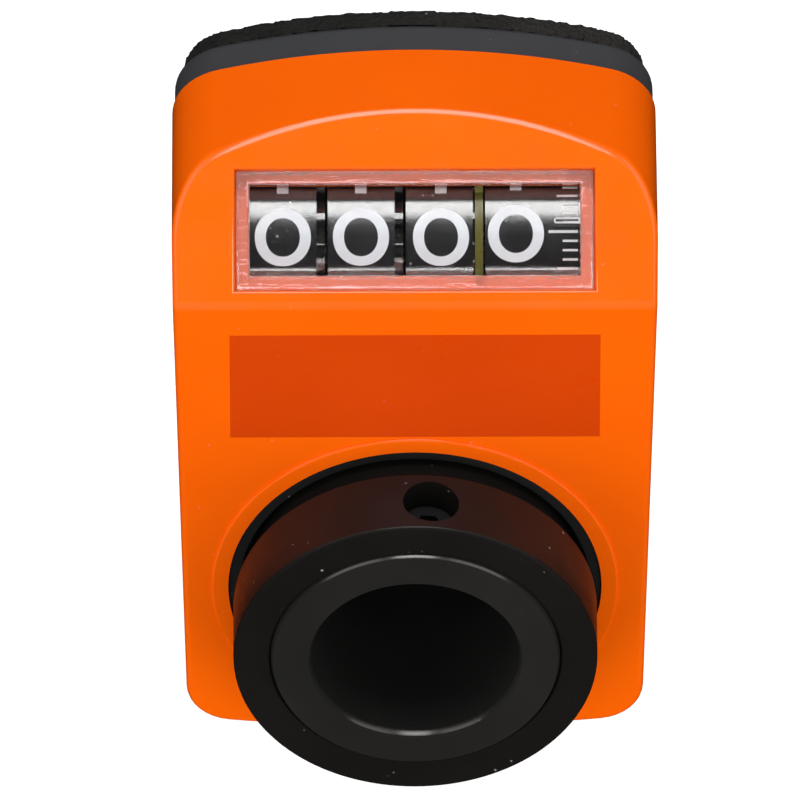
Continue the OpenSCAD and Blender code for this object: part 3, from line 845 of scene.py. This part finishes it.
foam_block = outline_solid(FOAM_INSET, foam_lo.y, foam_hi.y)
bmesh.ops.scale(foam_block, vec=(SIDE_TRIM, 1, 1), verts=foam_block.verts)
foam = make_object("foam_gasket", foam_block)
combine(foam, "foam_hole", cylinder_y(bearing_radius + 1.5 * MM, -wall, foam_hi.y + wall))
pin_hole = cylinder_y(pin_radius + 0.6 * MM, -wall, foam_hi.y + wall, 0, pin_z, 64)
combine(foam, "foam_pin_hole", pin_hole)
cells = foam.modifiers.new("cells", "REMESH")
cells.mode = "VOXEL"
cells.voxel_size = FOAM_CELL
bake_modifiers(foam)
print("foam has", len(foam.data.polygons), "small faces")


def roughen(mesh):
    bm = bmesh.new()
    bm.from_mesh(mesh)
    bm.normal_update()
    for vert in bm.verts:
        lump = noise.noise(vert.co * LUMP_SCALE)
        tear = noise.noise(vert.co * TEAR_SCALE + Vector((7, 3, 1)))
        vert.co += vert.normal * (LUMP_DEPTH * lump + TEAR_DEPTH * tear) * MM
        vert.co.y = min(max(vert.co.y, 0.02 * MM), foam_hi.y + 0.15 * MM)
    bm.to_mesh(mesh)
    bm.free()


roughen(foam.data)
place_piece(foam, "case", "foam_black", open_foam, "foam_seal", flat_faces=False)

# %% [markdown]
# The lens is a shallow clear cap: a plate with a skirt that stands in the opening. It could be one
# mesh, but the plate is polished and the skirt is not, and glass needs one plain finish for each mesh.
# So the plate and the frame round it are two meshes with a hair of air between them.

# %% Lens plate
AIR = 0.02 * MM
PLATE_ROUND = 0.1 * MM
plate_half = Vector((lens_width / 2 - LENS_WALL - AIR, lens_height / 2 - LENS_WALL - AIR, 0))
plate_bm = box_bmesh((-plate_half.x, -plate_half.y, -LENS_WALL), (plate_half.x, plate_half.y, 0))
bevel_edges(plate_bm, plate_bm.edges[:], PLATE_ROUND, 2)
bmesh.ops.transform(plate_bm, matrix=window, verts=plate_bm.verts)
window_plate = make_object("window_plate", plate_bm)
window_plate.visible_shadow = False
place_piece(window_plate, "case", "lens_clear", acrylic, "window_lens")

# %% [markdown]
# The frame is the thick rim of the lens, left as the mould made it. It could be cut out with a Boolean,
# but an inset is cleaner: a block's front and back are inset to the same line, the two inner faces go,
# and the holes they leave are bridged. A shallow channel in the front catches the light in lines.

# %% Lens frame
CHANNEL_INSET = 0.3 * MM
CHANNEL_DEPTH = 0.14 * MM
RIM_EDGE_ROUND = 0.12 * MM
STEEP_EDGE = 1.2


def frame_form():
    bm = box_bmesh((-lens_width / 2, -lens_height / 2, -skirt), (lens_width / 2, lens_height / 2, 0))
    middle_z = -skirt / 2
    ends = [f for f in bm.faces if abs(f.normal.z) > 0.9]
    for face in ends:
        bmesh.ops.inset_region(bm, faces=[face], thickness=LENS_WALL, use_even_offset=True)
    rims = [e for face in ends for e in face.edges]
    bmesh.ops.delete(bm, geom=ends, context="FACES_ONLY")
    bmesh.ops.bridge_loops(bm, edges=rims)
    bm.normal_update()
    front = [f for f in bm.faces if f.normal.z > 0.9 and f.calc_center_median().z > middle_z]
    bmesh.ops.inset_region(bm, faces=front, thickness=CHANNEL_INSET, depth=-CHANNEL_DEPTH,
                           use_even_offset=True)
    outer = [e for e in bm.edges if len(e.link_faces) == 2 and e.calc_face_angle(0) > STEEP_EDGE]
    bevel_edges(bm, outer, RIM_EDGE_ROUND, 3)
    bmesh.ops.transform(bm, matrix=window, verts=bm.verts)
    return bm


window_frame = make_object("window_frame", frame_form())
window_frame.visible_shadow = False
place_piece(window_frame, "case", "lens_clear", moulded_rim_painted_reflection, "window_lens")

# %% [markdown]
# The collar is what a hand turns or a screw clamps to the shaft. It is a turned shape, so one profile
# is spun round the shaft axis. Cylinders could be joined instead, but a profile shows every step and
# can have its corners rounded, which makes the thin bright lines along the edges. The radial hole lets
# a key reach the set screw.

# %% Hub collar
collar_radius = collar_hi.z
neck_radius = 16.1 * MM
collar_back = front_y - 2.7 * MM
flange_radius = bush_hi.z
tube_radius = 12.0 * MM
screw_y = (collar_lo.y + collar_back) / 2
screw_turn = math.radians(5)
flange_back = front_y - 1.5 * MM
gap = 0.01 * MM
collar_round = 0.35 * MM
key_hole_radius = 2.7 * MM
drill_length = 12 * MM
drill_middle = 15 * MM

collar_profile = [(flange_radius + 6 * gap, collar_lo.y), (collar_radius, collar_lo.y),
                  (collar_radius, collar_back), (neck_radius, collar_back), (neck_radius, collar_hi.y),
                  (tube_radius + gap, collar_hi.y), (tube_radius + gap, flange_back),
                  (flange_radius + 6 * gap, flange_back)]
collar = make_object("grip_collar", spun(rounded(collar_profile, collar_round)))


def radial_tool(radius, segments=64):
    bm = bmesh.new()
    turn = Matrix.Rotation(screw_turn, 4, "Y")
    bmesh.ops.create_cone(bm, cap_ends=True, segments=segments, radius1=radius, radius2=radius,
                          depth=drill_length,
                          matrix=turn @ Matrix.Translation((0, screw_y, drill_middle)))
    return bm


combine(collar, "collar_hole", radial_tool(key_hole_radius))
place_piece(collar, "hub", "hub_black", collar_black, "hub_collar")

# %% [markdown]
# The bush is the hollow shaft: a blackened steel tube with a flange in front and a groove near the rear
# end for the retaining ring. The edge of the flange and the mouth of the bore have the same fine
# chamfer. It is spun from a profile, as the collar is, since both come from a lathe.

# %% Shaft bush
bore_radius = 10.0 * MM
ring_lo, ring_hi = box_of("retaining_ring")
chamfer = 0.6 * MM
chamfer_face = 0.26 * MM
groove = 0.5 * MM
groove_play = 0.1 * MM
bush_round = 0.06 * MM
screw_thread_radius = 2.46 * MM
bush_profile = [(bore_radius + chamfer_face, bush_lo.y), (flange_radius - chamfer_face, bush_lo.y),
                (flange_radius, bush_lo.y + chamfer), (flange_radius, flange_back),
                (tube_radius, flange_back), (tube_radius, ring_lo.y - groove_play),
                (tube_radius - groove, ring_lo.y - groove_play),
                (tube_radius - groove, ring_hi.y + groove_play),
                (tube_radius, ring_hi.y + groove_play), (tube_radius, 0), (bore_radius, 0),
                (bore_radius, bush_lo.y + chamfer)]
bush = make_object("steel_bush", spun(rounded(bush_profile, bush_round, 2)))
combine(bush, "bush_hole", radial_tool(screw_thread_radius))
place_piece(bush, "hub", "bush_steel", black_steel, "shaft_bush")

# %% [markdown]
# The front seal is a soft ring in the housing with a lip that leans toward the turning neck. A plain
# ring would do from far away, but the gap behind the collar shows the lip, so the profile has it.

# %% Front seal
lip_radius = neck_radius + 0.3 * MM
lip_depth = 1.0 * MM
seal_round = 0.15 * MM
seal_profile = [(seal_radius - gap, seal_lo.y), (seal_radius - gap, seal_hi.y), (lip_radius, seal_hi.y),
                (lip_radius, seal_lo.y + lip_depth),
                (lip_radius + lip_depth * 0.5, seal_lo.y + lip_depth * 0.5),
                (lip_radius + lip_depth * 0.4, seal_lo.y)]
seal = make_object("lip_seal", spun(rounded(seal_profile, seal_round)))
place_piece(seal, "case", "seal_rubber", seal_rubber, "front_seal")

# %% [markdown]
# The figures are printed on the wheels. They could be an image texture, but a thin ink shape stays
# sharp at any size. A flat drawing is raised to the thickness of the ink, sliced across so that it can
# bend, and wrapped round the wheel.

# %% Ink helpers
FIGURE_WIDTH = 5.35 * MM
FIGURE_HEIGHT = 5.5 * MM
INK = 0.03 * MM
INK_GAP = 0.004 * MM


def wrap(bm, middle_x, angle):
    """Bends a flat drawing round the wheel: X along the axle, Y round the rim, Z out of it."""
    for vert in bm.verts:
        turn = angle + vert.co.y / wheel_radius
        radius = wheel_radius + vert.co.z
        vert.co = Vector((middle_x + vert.co.x, axle.y - radius * math.cos(turn),
                          axle.z + radius * math.sin(turn)))


def add_wrapped(ring, flat, middle_x, angle):
    wrap(flat, middle_x, angle)
    bent = bpy.data.meshes.new("bent")
    flat.to_mesh(bent)
    flat.free()
    ring.from_mesh(bent)
    bpy.data.meshes.remove(bent)


def raise_ink(bm):
    moved = bmesh.ops.extrude_face_region(bm, geom=bm.faces[:])["geom"]
    top = [g for g in moved if isinstance(g, bmesh.types.BMVert)]
    bmesh.ops.translate(bm, vec=(0, 0, INK), verts=top)
    bmesh.ops.translate(bm, vec=(0, 0, INK_GAP), verts=bm.verts)
    bmesh.ops.recalc_face_normals(bm, faces=bm.faces)


def slice_across(bm, height, count=12):
    for i in range(1, count):
        geom = bm.verts[:] + bm.edges[:] + bm.faces[:]
        level = height * (i / count - 0.5)
        bmesh.ops.bisect_plane(bm, geom=geom, plane_co=(0, level, 0), plane_no=(0, 1, 0))


print("ink stands", INK / MM, "mm proud of the wheels")

# %% [markdown]
# Indicators have their own plain figures. Nought and one are simple enough to draw: an oval ring with
# slightly square shoulders, and a bar. The others would take long to draw and hardly show, so they
# come from Blender's built-in font, made a little bolder and wider.

# %% Figure drawings
OVAL_POINTS = 64
SHOULDER = 0.96
ONE_WIDTH = 1.1 * MM
TYPE_BOLDER = 0.028
TYPE_WIDER = 1.2


def oval_figure(upright=1.05 * MM, level=0.9 * MM):
    """The figure nought: an oval ring, a little square shouldered."""
    bm = bmesh.new()
    rings = []
    for share in (0, 1):
        a, b = FIGURE_WIDTH / 2 - upright * share, FIGURE_HEIGHT / 2 - level * share
        ring = []
        for i in range(OVAL_POINTS):
            t = 2 * math.pi * i / OVAL_POINTS
            c, s = math.cos(t), math.sin(t)
            across = a * math.copysign(abs(c) ** SHOULDER, c)
            upward = b * math.copysign(abs(s) ** SHOULDER, s)
            ring.append(bm.verts.new((across, upward, 0)))
        rings.append([bm.edges.new((p, q)) for p, q in zip(ring, ring[1:] + ring[:1])])
    bmesh.ops.bridge_loops(bm, edges=rings[0] + rings[1])
    return bm


def typed_figure(figure):
    curve = bpy.data.curves.new("figure", "FONT")
    curve.body = str(figure)
    curve.resolution_u = 5
    curve.offset = TYPE_BOLDER
    holder = bpy.data.objects.new("figure", curve)
    scene.collection.objects.link(holder)
    bpy.context.view_layer.update()
    mesh = bpy.data.meshes.new_from_object(holder.evaluated_get(bpy.context.evaluated_depsgraph_get()))
    bpy.data.objects.remove(holder)
    bm = bmesh.new()
    bm.from_mesh(mesh)
    bmesh.ops.remove_doubles(bm, verts=bm.verts, dist=1e-5)
    low = Vector([min(v.co[i] for v in bm.verts) for i in range(3)])
    high = Vector([max(v.co[i] for v in bm.verts) for i in range(3)])
    scale = FIGURE_HEIGHT / (high.y - low.y)
    bmesh.ops.translate(bm, vec=-(low + high) / 2, verts=bm.verts)
    bmesh.ops.scale(bm, vec=(scale * TYPE_WIDER, scale, 1), verts=bm.verts)
    return bm


def bar_figure(width, height):
    bm = bmesh.new()
    bmesh.ops.create_grid(bm, x_segments=1, y_segments=1, size=0.5)
    bmesh.ops.scale(bm, vec=(width, height, 1), verts=bm.verts)
    return bm


def figure_drawing(figure):
    if figure == 0:
        bm = oval_figure()
    elif figure == 1:
        bm = bar_figure(ONE_WIDTH, FIGURE_HEIGHT)
    else:
        bm = typed_figure(figure)
    slice_across(bm, FIGURE_HEIGHT)
    raise_ink(bm)
    mesh = bpy.data.meshes.new("figure_drawing")
    bm.to_mesh(mesh)
    bm.free()
    return mesh


drawings = [figure_drawing(figure) for figure in range(10)]
print("drew", len(drawings), "figures", FIGURE_HEIGHT / MM, "mm high")

# %% [markdown]
# Each wheel carries all ten figures, a tenth of a turn apart. The next one stands above, so the reading
# grows as the wheel turns forward. Each wheel lags by its own small angle, as play in the gears
# leaves it.

# %% Figures on the wheels
STEP = math.radians(36)
reading_angle = math.radians(48.6)
WHEELS = {"units": (9.64 * MM, 1.6), "tens": (2.5 * MM, 0.0), "hundreds": (-5.13 * MM, 0.2),
          "thousands": (-12.58 * MM, 0.1)}
for wheel, (middle_x, lag) in WHEELS.items():
    ring = bmesh.new()
    for figure, drawing in enumerate(drawings):
        one = bmesh.new()
        one.from_mesh(drawing)
        add_wrapped(ring, one, middle_x, reading_angle + math.radians(lag) + STEP * figure)
    place_piece(make_object("figures_" + wheel, ring), wheel, "mark_white", white_ink)

# %% [markdown]
# Beside its figures the units wheel carries a scale of eighty lines: a long one at each figure, a
# middle one halfway, and short ones between. An Array modifier could repeat one line round the wheel,
# but a loop lets each line have its own length.

# %% Graduations
LINES = 80
LONG_LINE, MIDDLE_LINE, SHORT_LINE = 2.8 * MM, 2.0 * MM, 1.45 * MM
LINE_T = 0.22 * MM
LONG_LINE_T = 0.27 * MM
scale_right = 15.55 * MM
zero_angle = math.radians(51.1)
scale_ring = bmesh.new()
for line in range(LINES):
    at_figure = line % 8 == 0
    length = LONG_LINE if at_figure else (MIDDLE_LINE if line % 4 == 0 else SHORT_LINE)
    one = bar_figure(length, LONG_LINE_T if at_figure else LINE_T)
    raise_ink(one)
    add_wrapped(scale_ring, one, scale_right - length / 2, zero_angle + 2 * math.pi * line / LINES)
place_piece(make_object("scale_units", scale_ring), "units", "mark_white", scale_ink)

# %% [markdown]
# The index is a small slot outline printed behind the lens, over the scale. It could be cut from a
# plate, but two rounded loops joined by a bridge give the same outline in one step.

# %% Index mark
INDEX_LEFT, INDEX_RIGHT = 13.25 * MM, 15.75 * MM
INDEX_UP = 0.95 * MM
INDEX_HALF = 0.29 * MM
INDEX_LINE = 0.16 * MM
INDEX_GAP = 0.06 * MM
INDEX_ARC_STEPS = 10


def slot_loop(bm, half, left, right):
    centre = left + half
    turns = [math.pi * i / INDEX_ARC_STEPS for i in range(INDEX_ARC_STEPS + 1)]
    points = [(centre - half * math.sin(t), half * math.cos(t)) for t in turns]
    points += [(right, -half), (right, half)]
    verts = [bm.verts.new((x, INDEX_UP + y, -LENS_WALL - INDEX_GAP)) for x, y in points]
    return [bm.edges.new((a, b)) for a, b in zip(verts, verts[1:] + verts[:1])]


index_bm = bmesh.new()
outer_loop = slot_loop(index_bm, INDEX_HALF, INDEX_LEFT, INDEX_RIGHT)
inner_loop = slot_loop(index_bm, INDEX_HALF - INDEX_LINE, INDEX_LEFT + INDEX_LINE,
                       INDEX_RIGHT - INDEX_LINE)
bmesh.ops.bridge_loops(index_bm, edges=outer_loop + inner_loop)
raise_ink(index_bm)
bmesh.ops.transform(index_bm, matrix=window, verts=index_bm.verts)
place_piece(make_object("index_slot", index_bm), "case", "mark_white", scale_ink, "index_mark")

# %% [markdown]
# The object stands on white, in a room with a soft sky. A white floor that lit the object as a real one
# does would wash the orange out, because a glossy coat picks up white from every side. So the floor
# shows to the camera only, as if it were laid in afterwards.

# %% Studio floor and sky
FLOOR_Z = foot_z - 0.2 * MM
FLOOR_GREY = (0.35, 0.35, 0.35, 1)
FLOOR_GLOW = 0.95
SKY_HEIGHTS = (0.4, 0.95)
SKY_STRENGTHS = (0.03, 0.4)

floor_bm = bmesh.new()
bmesh.ops.create_grid(floor_bm, x_segments=1, y_segments=1, size=3.0)
bmesh.ops.translate(floor_bm, vec=(0, 0, FLOOR_Z), verts=floor_bm.verts)
floor = make_object("studio_floor", floor_bm, outward=False)
floor_paint = bpy.data.materials.new("studio_floor")
floor_paint.use_nodes = True
floor_shader = floor_paint.node_tree.nodes["Principled BSDF"]
floor_shader.inputs["Base Color"].default_value = FLOOR_GREY
floor_shader.inputs["Roughness"].default_value = 1.0
floor_shader.inputs["Specular IOR Level"].default_value = 0.0
floor_shader.inputs["Emission Color"].default_value = (1, 1, 1, 1)
floor_shader.inputs["Emission Strength"].default_value = FLOOR_GLOW
floor.data.materials.append(floor_paint)
for seen_by in ("visible_glossy", "visible_diffuse", "visible_transmission", "visible_shadow"):
    setattr(floor, seen_by, False)

world = bpy.data.worlds.new("studio")
world.use_nodes = True
sky = world.node_tree
direction = sky.nodes.new("ShaderNodeSeparateXYZ")
sky.links.new(sky.nodes.new("ShaderNodeTexCoord").outputs["Generated"], direction.inputs[0])
strength = add_range(sky, direction.outputs["Z"], *SKY_HEIGHTS, *SKY_STRENGTHS)
sky.links.new(strength, sky.nodes["Background"].inputs["Strength"])
scene.world = world
print("floor at", round(FLOOR_Z / MM, 1), "mm")

# %% [markdown]
# A glossy object shows its surroundings, so there are two sets of soft lights. The fills give the
# colour and stay out of reflections and out of the window. The cards are smaller and draw the
# highlights. One large light could do both, but its reflection would lie over the whole front.

# %% Studio lights
FILL_DISTANCE = 0.9
CARD_DISTANCE = 0.7
AIM = Vector((0, front_y / 2, 15 * MM))


def soft_light(name, elevation, azimuth, distance, size, power, glossy):
    """A rectangular light aimed at the object. Azimuth 0 is in front, 90 at the right."""
    data = bpy.data.lights.new(name, "AREA")
    data.shape = "RECTANGLE"
    data.size, data.size_y = size
    data.energy = power
    light = bpy.data.objects.new(name, data)
    scene.collection.objects.link(light)
    e, a = math.radians(elevation), math.radians(azimuth)
    toward = Vector((math.sin(a) * math.cos(e), -math.cos(a) * math.cos(e), math.sin(e)))
    light.location = AIM + toward * distance
    light.rotation_euler = (-toward).to_track_quat("-Z", "Y").to_euler()
    light.visible_glossy = glossy
    return light


fills = [soft_light("front_fill", 16, 0, FILL_DISTANCE, (2.0, 1.2), 12.5, False)]
for side in (-1, 1):
    fills.append(soft_light("low_fill", -15, 55 * side, FILL_DISTANCE, (0.8, 0.8), 3.8, False))
for fill in fills:
    fill.visible_transmission = False
cards = [soft_light("top_card", 91, 0, CARD_DISTANCE, (0.34, 0.42), 3.1, True)]
for name, side in (("left_card", -1), ("right_card", 1)):
    cards.append(soft_light(name, 45, 80 * side, CARD_DISTANCE, (0.4, 0.5), 0.8, True))
scene.view_settings.view_transform = "Standard"
print(len(fills), "fills and", len(cards), "cards set")
